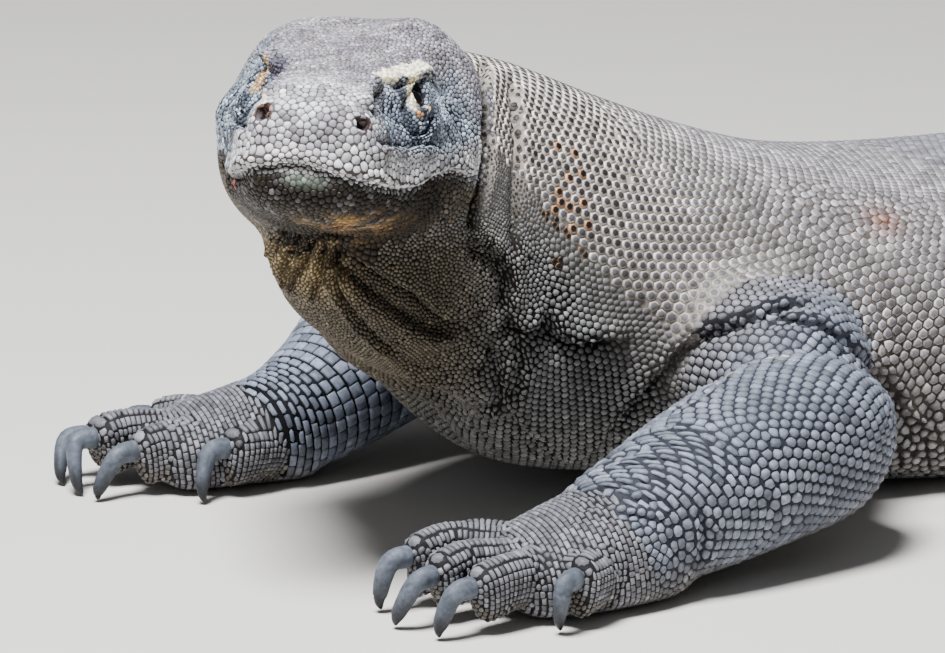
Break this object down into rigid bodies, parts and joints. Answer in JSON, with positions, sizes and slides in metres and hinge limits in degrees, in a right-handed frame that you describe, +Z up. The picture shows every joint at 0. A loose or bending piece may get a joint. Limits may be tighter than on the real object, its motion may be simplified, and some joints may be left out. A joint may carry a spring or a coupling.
{
  "type": "komodo dragon",
  "caption": "Life-size still komodo dragon lying on its belly, chest propped on its forearms, head raised and turned to its left, for display as a museum shows one.",
  "frame": {"origin": "on the floor, under the middle of the belly", "axes": "+X back along the body towards the tail, so the animal faces -X; -Y is its left side; +Z up"},
  "size_m": [2.4402, 1.0584, 0.3421],
  "materials": {
    "scaly_skin": "satin, dull grey-brown bead scales with dark gaps",
    "claw": "satin blue-grey horn",
    "eye": "wet gloss, near black"
  },
  "bodies": {
    "root": {"eye_left": "eye", "eye_right": "eye", "front_left_claw_1": "claw", "front_left_claw_2": "claw", "front_left_claw_3": "claw", "front_left_claw_4": "claw", "front_left_claw_5": "claw", "front_left_foot": "scaly_skin", "front_left_lower": "scaly_skin", "front_left_upper": "scaly_skin", "front_right_claw_1": "claw", "front_right_claw_2": "claw", "front_right_claw_3": "claw", "front_right_claw_4": "claw", "front_right_claw_5": "claw", "front_right_foot": "scaly_skin", "front_right_lower": "scaly_skin", "front_right_upper": "scaly_skin", "head": "scaly_skin", "hind_left_claw_1": "claw", "hind_left_claw_2": "claw", "hind_left_claw_3": "claw", "hind_left_claw_4": "claw", "hind_left_claw_5": "claw", "hind_left_foot": "scaly_skin", "hind_left_lower": "scaly_skin", "hind_left_upper": "scaly_skin", "hind_right_claw_1": "claw", "hind_right_claw_2": "claw", "hind_right_claw_3": "claw", "hind_right_claw_4": "claw", "hind_right_claw_5": "claw", "hind_right_foot": "scaly_skin", "hind_right_lower": "scaly_skin", "hind_right_upper": "scaly_skin", "lower_jaw": "scaly_skin", "neck": "scaly_skin", "tail_1": "scaly_skin", "tail_2": "scaly_skin", "tail_3": "scaly_skin", "tail_4": "scaly_skin", "trunk_front": "scaly_skin", "trunk_rear": "scaly_skin"}
  },
  "joints": []
}
